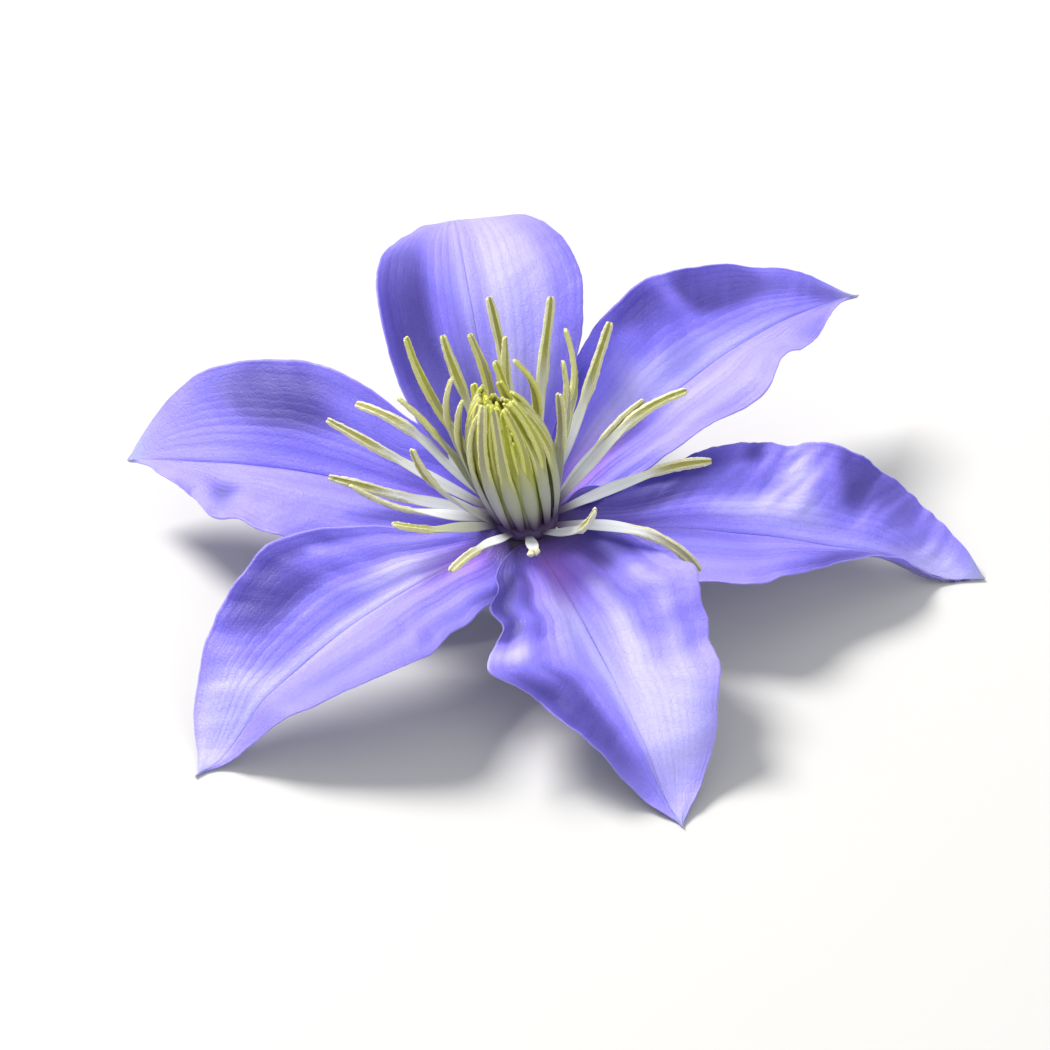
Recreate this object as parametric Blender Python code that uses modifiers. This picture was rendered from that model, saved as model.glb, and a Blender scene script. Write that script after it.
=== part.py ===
# A clematis flower with six sepals, picked with a short piece of its stalk and lying face up.
# The flower's axis is upright. Lengths are in millimetres and angles in degrees, and each
# shape is turned into metres as its points are placed. Azimuth 0 is +X and azimuth 90 is +Y.

import math
import random

import bmesh
import bpy
from mathutils import Vector

MM = 0.001
GAP = 0.3                    # clearance between pieces that meet

# Levels along the flower's axis, with the sepals' roots at zero.
SURFACE_LEVEL = -9.6         # the surface under the resting tips and the stalk's end
RECEPTACLE_TOP = 0.8
RECEPTACLE_RADIUS = 3.5

SEPAL_ROOT_RADIUS = RECEPTACLE_RADIUS + GAP
SEPAL_THICKNESS = 0.7
GROOVE_ROUNDING = 0.8        # radius that softens the bottom of a sepal's groove
PRESSED = 0.05               # how far what rests is pressed flat on the surface
REST_LEVEL = SURFACE_LEVEL + SEPAL_THICKNESS / 2 - PRESSED
REST_STRETCH = (0.75, 0.95)  # where along its length a resting sepal comes to lie flat
SEPAL_ACROSS = 10            # faces across a sepal and along it
SEPAL_ALONG = 20
LINE_ROWS = 40               # rows kept along a stamen's or a style's middle line
STEPS_PER_ROW = 10           # integration steps between two rows

# The stalk's middle line is a Bezier curve from its cut end on the surface to the
# receptacle, and widens over the last part of its way. The receptacle follows on, given by
# level and radius.
PEDICEL_RADIUS = 1.3
PEDICEL_LIE = SURFACE_LEVEL + PEDICEL_RADIUS
PEDICEL_HANDLES = (
    Vector((-4.0, 17.0, PEDICEL_LIE - 2 * PRESSED)),
    Vector((-1.2, 5.5, PEDICEL_LIE + 0.4)),
    Vector((0, 0, -6.5)),
    Vector((0, 0, -2.6)),
)
PEDICEL_POINTS = 14
PEDICEL_FLARE_FROM = 0.6
PEDICEL_FLARE = 0.9
PEDICEL_BEVEL_RESOLUTION = 4
RECEPTACLE = (
    (-1.9, 2.8), (-1.3, 3.3), (-0.6, RECEPTACLE_RADIUS), (0.5, RECEPTACLE_RADIUS),
    (RECEPTACLE_TOP, 3.1),
)

STAMEN_RING_RADIUS = 2.85    # middle of the low ring that the stamens grow from
STAMEN_RING_HALF_WIDTH = 0.95
STAMEN_RING_HALF_HEIGHT = 0.75
STAMEN_LEVEL = RECEPTACLE_TOP + GAP + STAMEN_RING_HALF_HEIGHT
FILAMENT_HALF_WIDTH = 0.55
FILAMENT_SWELLING = 0.42     # added to the half width where the filament is widest
FILAMENT_WIDEST = 0.34       # as a share of the stamen's length, as the next two are
FILAMENT_SPREAD = 0.22
ANTHER_FROM = (0.5, 0.6)
ANTHER_HALF_WIDTH = 0.66
STAMEN_HALF_THICKNESS = 0.4
STAMEN_SIDES = 6
STAMEN_RINGS = 8

STYLE_DOME_RADIUS = STAMEN_RING_RADIUS - STAMEN_RING_HALF_WIDTH - GAP
STYLE_DOME_HEIGHT = 3.0
STYLE_DOME_BASE = RECEPTACLE_TOP + GAP
STYLE_ROOT_DEPTH = 2.4       # how far down in the dome the styles start
STYLE_HALF_WIDTH = 0.35
STYLE_COUNT = 7              # one in the middle and the rest in a circle round it
STYLE_CIRCLE_RADIUS = 0.85
STYLE_SIDES = 5
STYLE_RINGS = 6

# One entry for each sepal. "root" is the azimuth and level at which it grows on the
# receptacle, "azimuth" where it points, "rise" the midrib's slope at its root, middle and
# tip, "bend" the change of its heading, and "roll" the blade's turn about the midrib at root
# and tip. "Left" is seen from the root towards the tip. A side has its half width at the
# root, its greatest half width and two powers that shape the outline towards root and tip,
# its fold up from the midrib at root, middle and tip, a wave (height, count, phase) and
# lobes (place, size, spread). A sepal that rests touches the surface with its tip.
SEPALS = {
    "sepal_back_left": dict(
        root=(110, 0.2), azimuth=110.5, length=51, rise=(42, 26, -75), bend=-20, roll=(0, 0), rests=False,
        left=dict(width=(1.7, 12.2, 1.2, 1.5), fold=(5, 14, -35), wave=(0.6, 2.5, 0.0), lobes=()),
        right=dict(width=(1.9, 14.2, 1.15, 1.0), fold=(8, 6, -35), wave=(0.6, 2.2, 0.3), lobes=()),
    ),
    "sepal_back_right": dict(
        root=(50, -0.2), azimuth=50, length=54, rise=(16, 8, -14), bend=-12, roll=(12, 10), rests=False,
        left=dict(width=(1.9, 13.2, 1.05, 1.0), fold=(4, 20, 5), wave=(0.6, 2.5, 0.0), lobes=()),
        right=dict(width=(1.7, 10.2, 1.25, 1.35), fold=(22, 23, 15), wave=(1.0, 3.2, 0.2), lobes=()),
    ),
    "sepal_right": dict(
        root=(-10, -0.4), azimuth=3, length=51, rise=(9, -13, -18), bend=2, roll=(6, 8), rests=True,
        left=dict(width=(1.7, 13.8, 1.15, 0.9), fold=(10, 19, 15), wave=(0.5, 3.5, 0.0), lobes=()),
        right=dict(
            width=(1.9, 8.8, 1.0, 2.0), fold=(-10, 16, 70), wave=(0.8, 2.6, 0.3),
            lobes=((0.42, 1.4, 0.12),),
        ),
    ),
    "sepal_front": dict(
        root=(-70, 0.0), azimuth=-68, length=41, rise=(4, -15, -28), bend=3, roll=(0, 0), rests=True,
        left=dict(width=(1.9, 13.8, 0.72, 1.05), fold=(14, 20, 10), wave=(0.6, 3.5, 0.0), lobes=()),
        right=dict(
            width=(1.9, 11.0, 0.78, 1.3), fold=(-18, 18, 10), wave=(0.6, 4.2, 0.35),
            lobes=((0.29, -1.2, 0.04), (0.42, 3.0, 0.07)),
        ),
    ),
    "sepal_front_left": dict(
        root=(-130, 0.2), azimuth=-141, length=45.5, rise=(8, -12, -30), bend=3, roll=(0, 0), rests=True,
        left=dict(width=(1.9, 12.2, 0.78, 1.25), fold=(22, 14, 15), wave=(0.4, 2.5, 0.0), lobes=()),
        right=dict(
            width=(1.9, 12.6, 0.95, 0.95), fold=(24, 24, 10), wave=(0.4, 2.2, 0.3),
            lobes=((0.36, 0.8, 0.12),),
        ),
    ),
    "sepal_left": dict(
        root=(170, -0.2), azimuth=162, length=46, rise=(16, -3, -16), bend=-2, roll=(-16, -10), rests=False,
        left=dict(width=(1.9, 11.6, 0.95, 1.2), fold=(2, 8, 10), wave=(0.6, 2.5, 0.0), lobes=()),
        right=dict(width=(1.7, 14.0, 0.95, 0.7), fold=(8, 28, 15), wave=(0.5, 2.2, 0.3), lobes=()),
    ),
}

# The outer stamens as they lean: azimuth, slope at the root, change of slope, length.
SPREADING_ROOT_RADIUS = 3.3
SPREADING_STAMENS = (
    (164, 20, 8, 22), (153, 26, 6, 21), (137, 45, 10, 22), (170, 50, 10, 18.5), (124, 46, 10, 20.5),
    (116, 52, 20, 20), (207, 48, 24, 18), (173, 8, 8, 19.5), (187, 14, 12, 17.5), (200, 16, 6, 14),
    (248, 20, 6, 16.5), (273, 26, 6, 16.5), (304, 32, 24, 15), (334, 20, -60, 19.5), (11, 14, 6, 19),
    (27, 32, 8, 21), (22, 42, 14, 17.5), (57, 46, 10, 22), (75, 52, 14, 20), (82, 50, 10, 22.5),
    (106, 50, 10, 22.5), (99, 56, 16, 19.5), (150, 68, 20, 18.5), (62, 64, 14, 18.5),
    (15, 78, 10, 17.5), (178, 66, 16, 17.5), (125, 68, 18, 18.5), (95, 62, 34, 18), (56, 70, 66, 21.5),
)

# The standing stamens in whorls: how many, root radius, slopes and length. They close over
# the styles in a barrel that leans to one side, by this much for each millimetre of height.
STANDING_WHORLS = (
    (15, 3.2, (69, 91, 143), 17.8),
    (12, 2.8, (75, 91, 138), 17.2),
    (8, 2.5, (80, 91, 128), 16.2),
)
WHORL_TURN = 40              # turns a whorl against the next, for each mm of root radius
STANDING_LEAN = Vector((-0.20, 0.02, 0))

SEPAL_COLOUR = (0.20, 0.17, 0.66)
PEDICEL_COLOUR = (0.14, 0.22, 0.06)
STAMEN_COLOUR = (0.62, 0.62, 0.36)
STYLE_COLOUR = (0.45, 0.55, 0.18)


def material(name, colour, roughness):
    made = bpy.data.materials.new(name)
    made.use_nodes = True
    shader = made.node_tree.nodes["Principled BSDF"]
    shader.inputs["Base Color"].default_value = (*colour, 1.0)
    shader.inputs["Roughness"].default_value = roughness
    shader.inputs["Metallic"].default_value = 0.0
    made.diffuse_color = (*colour, 1.0)
    return made


def new_object(name, bm, collection):
    mesh = bpy.data.meshes.new(name)
    bm.to_mesh(mesh)
    bm.free()
    made = bpy.data.objects.new(name, mesh)
    collection.objects.link(made)
    return made


def move_to(made, collection):
    for old in list(made.users_collection):
        old.objects.unlink(made)
    collection.objects.link(made)


def applied(made):
    bpy.context.view_layer.update()
    depsgraph = bpy.context.evaluated_depsgraph_get()
    mesh = bpy.data.meshes.new_from_object(made.evaluated_get(depsgraph))
    made.modifiers.clear()
    made.data = mesh


def through(values, t):
    # The parabola that has the three values at 0, 1/2 and 1.
    start, middle, end = values
    return start * (1 - t) * (1 - 2 * t) + middle * 4 * t * (1 - t) + end * t * (2 * t - 1)


def smooth_step(value, start, end):
    share = min(1, max(0, (value - start) / (end - start)))
    return share * share * (3 - 2 * share)


def growth_line(root, azimuth, length, rise, bend, roll, rows):
    # Rows of (point, side, normal) along a blade's or a filament's middle.
    steps = rows * STEPS_PER_ROW
    point = Vector(root)
    line = []
    for step in range(steps + 1):
        t = step / steps
        slope = math.radians(through(rise, t))
        heading = math.radians(azimuth + bend * t)
        turn = math.radians(roll[0] + (roll[1] - roll[0]) * t)
        flat = Vector((math.cos(heading), math.sin(heading), 0))
        forward = flat * math.cos(slope) + Vector((0, 0, math.sin(slope)))
        level_side = Vector((-math.sin(heading), math.cos(heading), 0))
        level_normal = forward.cross(level_side)
        side = level_side * math.cos(turn) + level_normal * math.sin(turn)
        if step % STEPS_PER_ROW == 0:
            line.append((point.copy(), side, forward.cross(side)))
        point += forward * (length / steps)
    return line


def half_width(side, t):
    at_root, widest, root_power, tip_power = side["width"]
    peak = root_power / (root_power + tip_power)
    top = peak**root_power * (1 - peak) ** tip_power
    width = widest * t**root_power * (1 - t) ** tip_power / top
    width += at_root * (1 - t) ** 3
    for place, size, spread in side["lobes"]:
        width += size * math.exp(-(((t - place) / spread) ** 2))
    return width


def sepal(name, form, looks, collection):
    root_azimuth, level = form["root"]
    angle = math.radians(root_azimuth)
    root = (SEPAL_ROOT_RADIUS * math.cos(angle), SEPAL_ROOT_RADIUS * math.sin(angle), level)
    line = growth_line(root, form["azimuth"], form["length"], form["rise"], form["bend"],
                       form["roll"], SEPAL_ALONG)

    bm = bmesh.new()
    bmesh.ops.create_grid(bm, x_segments=SEPAL_ACROSS, y_segments=SEPAL_ALONG, size=1)
    for vert in bm.verts:
        across = vert.co.x
        row = round((vert.co.y + 1) / 2 * SEPAL_ALONG)
        t = row / SEPAL_ALONG
        point, side, normal = line[row]
        half = form["left"] if across > 0 else form["right"]
        width = half_width(half, t)
        reach = abs(across) * width
        reach = math.hypot(reach, GROOVE_ROUNDING) - GROOVE_ROUNDING
        fold = math.radians(through(half["fold"], t))
        height, count, phase = half["wave"]
        wave = height * across**2 * math.sin(math.tau * (count * t + phase)) * min(width / 6, 1)
        lift = reach * math.sin(fold) + wave
        out = math.copysign(reach * math.cos(fold), across)
        place = point + side * out + normal * lift
        if form["rests"]:
            place.z += (REST_LEVEL - place.z) * smooth_step(t, *REST_STRETCH)
        vert.co = place * MM
    bmesh.ops.remove_doubles(bm, verts=bm.verts, dist=0.02 * MM)
    bmesh.ops.triangulate(bm, faces=bm.faces)
    bmesh.ops.recalc_face_normals(bm, faces=bm.faces)
    blade = new_object(name, bm, collection)
    solid = blade.modifiers.new("thickness", "SOLIDIFY")
    solid.thickness = SEPAL_THICKNESS * MM
    solid.offset = 0
    applied(blade)
    press_on_surface(blade)
    blade.data.shade_smooth()
    blade.data.materials.append(looks)
    return blade


def press_on_surface(made):
    # What would sink into the surface is flat on it instead.
    for vert in made.data.vertices:
        vert.co.z = max(vert.co.z, SURFACE_LEVEL * MM)


def drawn_out(name, line, half_width_at, half_thickness, sides, rings, collection):
    # A sphere stretched along a growth line, from its lower pole to its upper one, with ends
    # that are blunter than a sphere's.
    bm = bmesh.new()
    bmesh.ops.create_uvsphere(bm, u_segments=sides, v_segments=rings, radius=1)
    for vert in bm.verts:
        t = (vert.co.z + 1) / 2
        point, side, normal = line[round(t * (len(line) - 1))]
        spread = math.hypot(vert.co.x, vert.co.y)
        place = Vector(point)
        if spread > 0.01:
            blunt = 1 / math.sqrt(spread)
            place += side * (vert.co.x * blunt * half_width_at(t))
            place += normal * (vert.co.y * blunt * half_thickness)
        vert.co = place * MM
    bmesh.ops.recalc_face_normals(bm, faces=bm.faces)
    return new_object(name, bm, collection)


def joined(body, pieces):
    union = body.modifiers.new("grown together", "BOOLEAN")
    union.operation = "UNION"
    union.operand_type = "COLLECTION"
    union.collection = pieces
    union.solver = "EXACT"
    applied(body)
    for piece in list(pieces.objects):
        bpy.data.objects.remove(piece)
    bpy.data.collections.remove(pieces)


def stamen_half_width(t):
    # A flat filament that swells in its lower half, and a slender anther above it.
    swelling = math.exp(-(((t - FILAMENT_WIDEST) / FILAMENT_SPREAD) ** 2))
    filament = FILAMENT_HALF_WIDTH + FILAMENT_SWELLING * swelling
    share = smooth_step(t, *ANTHER_FROM)
    return filament * (1 - share) + ANTHER_HALF_WIDTH * share


def stamen_line(azimuth, radius, rise, bend, length):
    angle = math.radians(azimuth)
    root = (radius * math.cos(angle), radius * math.sin(angle), STAMEN_LEVEL)
    return growth_line(root, azimuth, length, rise, bend, (0, 0), LINE_ROWS)


def leaning(line):
    foot = line[0][0].z
    return [(point + STANDING_LEAN * (point.z - foot), side, normal) for point, side, normal in line]


def stamens(looks, collection, pieces):
    rng = random.Random(7)
    lines = []
    for azimuth, slope, change, length in SPREADING_STAMENS:
        rise = (slope, slope + change / 4, slope + change)
        lines.append(stamen_line(azimuth, SPREADING_ROOT_RADIUS, rise, rng.uniform(-8, 8), length))
    for count, radius, rise, length in STANDING_WHORLS:
        for index in range(count):
            azimuth = 360 * (index + rng.uniform(-0.15, 0.15)) / count + WHORL_TURN * radius
            slopes = [slope + rng.uniform(-3, 3) for slope in rise]
            lines.append(leaning(stamen_line(
                azimuth, radius, slopes, rng.uniform(-14, 14), length + rng.uniform(-0.9, 0.9))))
    for number, line in enumerate(lines):
        drawn_out(f"stamen_{number}", line, stamen_half_width, STAMEN_HALF_THICKNESS,
                  STAMEN_SIDES, STAMEN_RINGS, pieces)

    bpy.ops.mesh.primitive_torus_add(
        major_radius=STAMEN_RING_RADIUS * MM, minor_radius=STAMEN_RING_HALF_WIDTH * MM,
        major_segments=24, minor_segments=8)
    ring = bpy.context.object
    ring.name = "stamens"
    for vert in ring.data.vertices:
        vert.co.z *= STAMEN_RING_HALF_HEIGHT / STAMEN_RING_HALF_WIDTH
        vert.co.z += STAMEN_LEVEL * MM
    move_to(ring, collection)
    joined(ring, pieces)
    ring.data.shade_smooth()
    ring.data.materials.clear()
    ring.data.materials.append(looks)
    return ring


def styles(looks, collection, pieces):
    # Carpels gathered in a dome, each with a slender style; the styles lean out a little.
    bm = bmesh.new()
    bmesh.ops.create_cone(
        bm, cap_ends=True, segments=12, radius1=STYLE_DOME_RADIUS * MM,
        radius2=0.55 * STYLE_DOME_RADIUS * MM, depth=STYLE_DOME_HEIGHT * MM)
    middle = STYLE_DOME_BASE + STYLE_DOME_HEIGHT / 2
    bmesh.ops.translate(bm, verts=bm.verts, vec=(0, 0, middle * MM))
    dome = new_object("styles", bm, collection)

    rng = random.Random(3)
    for index in range(STYLE_COUNT):
        azimuth = 360 * index / (STYLE_COUNT - 1)
        radius = STYLE_CIRCLE_RADIUS if index else 0
        angle = math.radians(azimuth)
        root = (radius * math.cos(angle), radius * math.sin(angle),
                STYLE_DOME_BASE + STYLE_DOME_HEIGHT - STYLE_ROOT_DEPTH)
        rise = (90, 88, 84 + rng.uniform(-6, 6))
        line = leaning(growth_line(root, azimuth, rng.uniform(11.0, 12.5), rise, 30, (0, 0), LINE_ROWS))
        drawn_out(f"style_{index}", line, lambda t: STYLE_HALF_WIDTH, STYLE_HALF_WIDTH,
                  STYLE_SIDES, STYLE_RINGS, pieces)
    joined(dome, pieces)
    dome.data.shade_smooth()
    dome.data.materials.append(looks)
    return dome


def pedicel(looks, collection):
    end, low, neck, top = PEDICEL_HANDLES
    route = []
    for index in range(PEDICEL_POINTS):
        t = index / (PEDICEL_POINTS - 1)
        place = (end * (1 - t) ** 3 + low * 3 * t * (1 - t) ** 2
                 + neck * 3 * t * t * (1 - t) + top * t**3)
        widened = max(0, (t - PEDICEL_FLARE_FROM) / (1 - PEDICEL_FLARE_FROM)) ** 2
        route.append((place, PEDICEL_RADIUS + PEDICEL_FLARE * widened))
    for level, radius in RECEPTACLE:
        route.append((Vector((0, 0, level)), radius))

    curve = bpy.data.curves.new("pedicel", "CURVE")
    curve.dimensions = "3D"
    curve.bevel_depth = MM
    curve.bevel_resolution = PEDICEL_BEVEL_RESOLUTION
    curve.use_fill_caps = True
    spline = curve.splines.new("POLY")
    spline.points.add(len(route) - 1)
    for point, (place, radius) in zip(spline.points, route):
        point.co = (*(place * MM), 1)
        point.radius = radius
    tube = bpy.data.objects.new("pedicel_line", curve)
    collection.objects.link(tube)

    bpy.context.view_layer.update()
    depsgraph = bpy.context.evaluated_depsgraph_get()
    mesh = bpy.data.meshes.new_from_object(tube.evaluated_get(depsgraph))
    bm = bmesh.new()
    bm.from_mesh(mesh)
    bmesh.ops.remove_doubles(bm, verts=bm.verts, dist=0.001 * MM)
    bmesh.ops.triangulate(bm, faces=bm.faces)
    bmesh.ops.recalc_face_normals(bm, faces=bm.faces)
    stalk = new_object("pedicel", bm, collection)
    bpy.data.objects.remove(tube)
    press_on_surface(stalk)
    stalk.data.shade_smooth()
    stalk.data.materials.append(looks)
    return stalk


def rest_on_origin(made_parts, collection):
    # The flower's frame has its origin under the middle of the flower, on the surface.
    lows = [min(v.co[axis] for part in made_parts for v in part.data.vertices) for axis in range(3)]
    highs = [max(v.co[axis] for part in made_parts for v in part.data.vertices) for axis in range(3)]
    flower = bpy.data.objects.new("flower", None)
    collection.objects.link(flower)
    flower.location = (-(lows[0] + highs[0]) / 2, -(lows[1] + highs[1]) / 2, -lows[2])
    for part in made_parts:
        part.parent = flower


def main():
    for old in list(bpy.data.objects):
        bpy.data.objects.remove(old)
    collection = bpy.data.collections.new("clematis_flower")
    bpy.context.scene.collection.children.link(collection)
    stamen_pieces = bpy.data.collections.new("stamen_pieces")
    bpy.context.scene.collection.children.link(stamen_pieces)
    style_pieces = bpy.data.collections.new("style_pieces")
    bpy.context.scene.collection.children.link(style_pieces)

    sepal_looks = material("sepal", SEPAL_COLOUR, 0.6)
    made_parts = [sepal(name, form, sepal_looks, collection) for name, form in SEPALS.items()]
    made_parts.append(pedicel(material("pedicel", PEDICEL_COLOUR, 0.55), collection))
    made_parts.append(stamens(material("stamen", STAMEN_COLOUR, 0.6), collection, stamen_pieces))
    made_parts.append(styles(material("style", STYLE_COLOUR, 0.5), collection, style_pieces))
    rest_on_origin(made_parts, collection)


main()
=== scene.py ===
# A clematis flower picked with a short piece of its stalk and laid face up: six violet
# sepals round a barrel of stamens. The shapes are worked out in millimetres and degrees
# about the flower's axis, with the sepals' roots near level zero, and are placed in metres.
# Azimuth 0 is +X and azimuth 90 is +Y.

import math
import random

import bmesh
import bpy
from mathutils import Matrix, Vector, noise


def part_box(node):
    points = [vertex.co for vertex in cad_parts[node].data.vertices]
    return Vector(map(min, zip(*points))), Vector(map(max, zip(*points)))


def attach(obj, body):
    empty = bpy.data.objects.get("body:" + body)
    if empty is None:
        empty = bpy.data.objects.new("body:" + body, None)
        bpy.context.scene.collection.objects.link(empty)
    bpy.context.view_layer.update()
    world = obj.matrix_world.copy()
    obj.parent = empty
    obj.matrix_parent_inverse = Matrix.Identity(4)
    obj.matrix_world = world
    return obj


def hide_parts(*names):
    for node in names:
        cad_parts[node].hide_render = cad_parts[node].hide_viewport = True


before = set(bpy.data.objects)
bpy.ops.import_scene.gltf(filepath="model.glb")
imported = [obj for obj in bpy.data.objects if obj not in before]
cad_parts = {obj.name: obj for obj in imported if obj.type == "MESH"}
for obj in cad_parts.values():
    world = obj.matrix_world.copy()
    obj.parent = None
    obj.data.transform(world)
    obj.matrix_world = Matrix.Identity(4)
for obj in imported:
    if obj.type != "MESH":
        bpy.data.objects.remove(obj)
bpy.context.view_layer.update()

mm = 0.001
gap = 0.3

# The receptacle at the top of the pedicel says where the flower's axis stands: its faceted
# rim reaches this far from the axis along X and Y.
receptacle = dict(top=0.8, radius=3.5, reachX=3.41, reachY=3.42)
low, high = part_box("pedicel")
axisFoot = Vector((
    high.x - receptacle["reachX"] * mm,
    low.y + receptacle["reachY"] * mm,
    high.z - receptacle["top"] * mm,
))
surfaceLevel = -axisFoot.z / mm


# Small tools for shapes.

def placed(point):
    return axisFoot + point * mm


def through(values, t):
    # The parabola that has the three values at 0, 1/2 and 1.
    start, middle, end = values
    return start * (1 - t) * (1 - 2 * t) + middle * 4 * t * (1 - t) + end * t * (2 * t - 1)


def smoothStep(value, start, end):
    share = min(1, max(0, (value - start) / (end - start)))
    return share * share * (3 - 2 * share)


def within(value, rise, fall):
    # 1 between the rise and the fall, and 0 outside them.
    return smoothStep(value, *rise) * (1 - smoothStep(value, *fall))


def bell(value, centre, spread):
    return math.exp(-(((value - centre) / spread) ** 2))


def growthLine(root, azimuth, length, rise, bend, roll, rows, hook=0, sway=0):
    # Rows of (point, side, normal) along a blade's or a filament's middle. Hook and sway are
    # further turns of its slope and heading in the outer half.
    stepsPerRow = 4
    steps = rows * stepsPerRow
    point = Vector(root)
    line = []
    for step in range(steps + 1):
        t = step / steps
        late = smoothStep(t, 0.45, 1)
        slope = math.radians(through(rise, t) + hook * late)
        heading = math.radians(azimuth + bend * t + sway * late)
        turn = math.radians(roll[0] + (roll[1] - roll[0]) * t)
        flat = Vector((math.cos(heading), math.sin(heading), 0))
        forward = flat * math.cos(slope) + Vector((0, 0, math.sin(slope)))
        levelSide = Vector((-math.sin(heading), math.cos(heading), 0))
        side = levelSide * math.cos(turn) + forward.cross(levelSide) * math.sin(turn)
        if step % stepsPerRow == 0:
            line.append((point.copy(), side, forward.cross(side)))
        point += forward * (length / steps)
    return line


def newPiece(name, bm, materials, replaced):
    mesh = bpy.data.meshes.new(name)
    bm.to_mesh(mesh)
    bm.free()
    mesh.shade_smooth()
    for look in materials:
        mesh.materials.append(look)
    piece = bpy.data.objects.new(name, mesh)
    bpy.context.scene.collection.objects.link(piece)
    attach(piece, "root")
    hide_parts(replaced)
    return piece


# Small tools for looks.

class Link:
    # A node's output that can be used in sums.
    def __init__(self, tree, socket):
        self.tree = tree
        self.socket = socket

    def maths(self, operation, first, second):
        settings = dict(operation=operation)
        return addNode(self.tree, "ShaderNodeMath", settings, {0: first, 1: second})

    def __add__(self, other):
        return self.maths("ADD", self, other)

    def __radd__(self, other):
        return self.maths("ADD", other, self)

    def __sub__(self, other):
        return self.maths("SUBTRACT", self, other)

    def __rsub__(self, other):
        return self.maths("SUBTRACT", other, self)

    def __mul__(self, other):
        return self.maths("MULTIPLY", self, other)

    def __rmul__(self, other):
        return self.maths("MULTIPLY", other, self)

    def __truediv__(self, other):
        return self.maths("DIVIDE", self, other)

    def __rtruediv__(self, other):
        return self.maths("DIVIDE", other, self)

    def __pow__(self, other):
        return self.maths("POWER", self, other)

    def __rpow__(self, other):
        return self.maths("POWER", other, self)

    def __abs__(self):
        return self.maths("ABSOLUTE", self, 0)


def addNode(tree, kind, settings, sockets, output=0):
    node = tree.nodes.new(kind)
    for name, value in settings.items():
        setattr(node, name, value)
    for name, value in sockets.items():
        if isinstance(value, Link):
            tree.links.new(value.socket, node.inputs[name])
        else:
            node.inputs[name].default_value = value
    return Link(tree, node.outputs[output])


def hexColour(code):
    # A colour code as the scene's linear red, green, blue and alpha.
    linear = []
    for start in (0, 2, 4):
        share = int(code[start:start + 2], 16) / 255
        linear.append(share / 12.92 if share < 0.04045 else ((share + 0.055) / 1.055) ** 2.4)
    return (*linear, 1)


def mixed(tree, share, first, second):
    if isinstance(first, str):
        first = hexColour(first)
    if isinstance(second, str):
        second = hexColour(second)
    settings = dict(data_type="RGBA", clamp_factor=True)
    return addNode(tree, "ShaderNodeMix", settings, {0: share, 6: first, 7: second}, 2)


def stepUp(tree, value, start, end):
    settings = dict(interpolation_type="SMOOTHSTEP", clamp=True)
    sockets = {"Value": value, "From Min": start, "From Max": end, "To Min": 0.0, "To Max": 1.0}
    return addNode(tree, "ShaderNodeMapRange", settings, sockets)


def hump(tree, value, centre, spread):
    away = (value - centre) / spread
    return addNode(tree, "ShaderNodeMath", dict(operation="EXPONENT"), {0: 0 - away * away})


def stripes(tree, value):
    # Soft stripes from 0 to 1, one for each full turn that the value makes.
    return addNode(tree, "ShaderNodeMath", dict(operation="SINE"), {0: value}) * 0.5 + 0.5


def attribute(tree, name):
    return addNode(tree, "ShaderNodeAttribute", dict(attribute_name=name), {}, "Fac")


def objectPlace(tree):
    return addNode(tree, "ShaderNodeTexCoord", {}, {}, "Object")


def roughNoise(tree, where, scale, detail, roughness=0.5):
    sockets = {"Vector": where, "Scale": scale, "Detail": detail, "Roughness": roughness}
    return addNode(tree, "ShaderNodeTexNoise", {}, sockets)


def bumped(tree, height, strength, distance):
    # Distance is in millimetres.
    sockets = {"Strength": strength, "Distance": distance * mm, "Height": height}
    return addNode(tree, "ShaderNodeBump", {}, sockets)


def newLook(name, constants):
    look = bpy.data.materials.new(name)
    look.use_nodes = True
    shader = look.node_tree.nodes["Principled BSDF"]
    for socket, value in constants.items():
        shader.inputs[socket].default_value = value
    return look, look.node_tree, shader


def feed(tree, shader, **links):
    names = dict(colour="Base Color", roughness="Roughness", normal="Normal")
    for name, link in links.items():
        tree.links.new(link.socket, shader.inputs[names[name]])


print("camera and lights")

# The camera looks along +Y and down at a point on the flower's axis. Elevation is in degrees,
# shift a share of the picture, and the rest in millimetres.
view = dict(elevation=38, distance=400, aim=0.3, sensor=36, lens=120.7, shift=0.00286, clip=10)

camera = bpy.data.objects.new("camera", bpy.data.cameras.new("camera"))
bpy.context.scene.collection.objects.link(camera)
aim = placed(Vector((0, 0, view["aim"])))
tilt = math.radians(view["elevation"])
camera.location = aim + Vector((0, -math.cos(tilt), math.sin(tilt))) * view["distance"] * mm
camera.rotation_euler = (math.pi / 2 - tilt, 0, 0)
camera.data.sensor_width = view["sensor"]
camera.data.lens = view["lens"]
camera.data.shift_y = view["shift"]
camera.data.clip_start = view["clip"] * mm
bpy.context.scene.camera = camera
bpy.context.scene.view_settings.view_transform = "Standard"

# Each light's direction from the aim, and how far off in metres it stands.
lights = {
    "key": dict(
        towards=(-0.50, 0.48, 0.74), away=0.9, size=0.32, watts=12.5, colour=(1.0, 0.98, 0.96)),
    "fill": dict(
        towards=(0.6, -0.7, 0.6), away=1.1, size=0.8, watts=2.6, colour=(0.94, 0.96, 1.0)),
}
for name, lamp in lights.items():
    light = bpy.data.objects.new(name, bpy.data.lights.new(name, "AREA"))
    bpy.context.scene.collection.objects.link(light)
    towards = Vector(lamp["towards"]).normalized()
    light.location = aim + towards * lamp["away"]
    light.rotation_euler = towards.to_track_quat("Z", "Y").to_euler()
    light.data.shape = "DISK"
    light.data.size = lamp["size"]
    light.data.energy = lamp["watts"]
    light.data.color = lamp["colour"]

studio = dict(sky=(0.95, 0.97, 1.0, 1), skyStrength=0.66, floor=(0.58, 0.575, 0.56, 1), floorSize=3)

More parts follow.
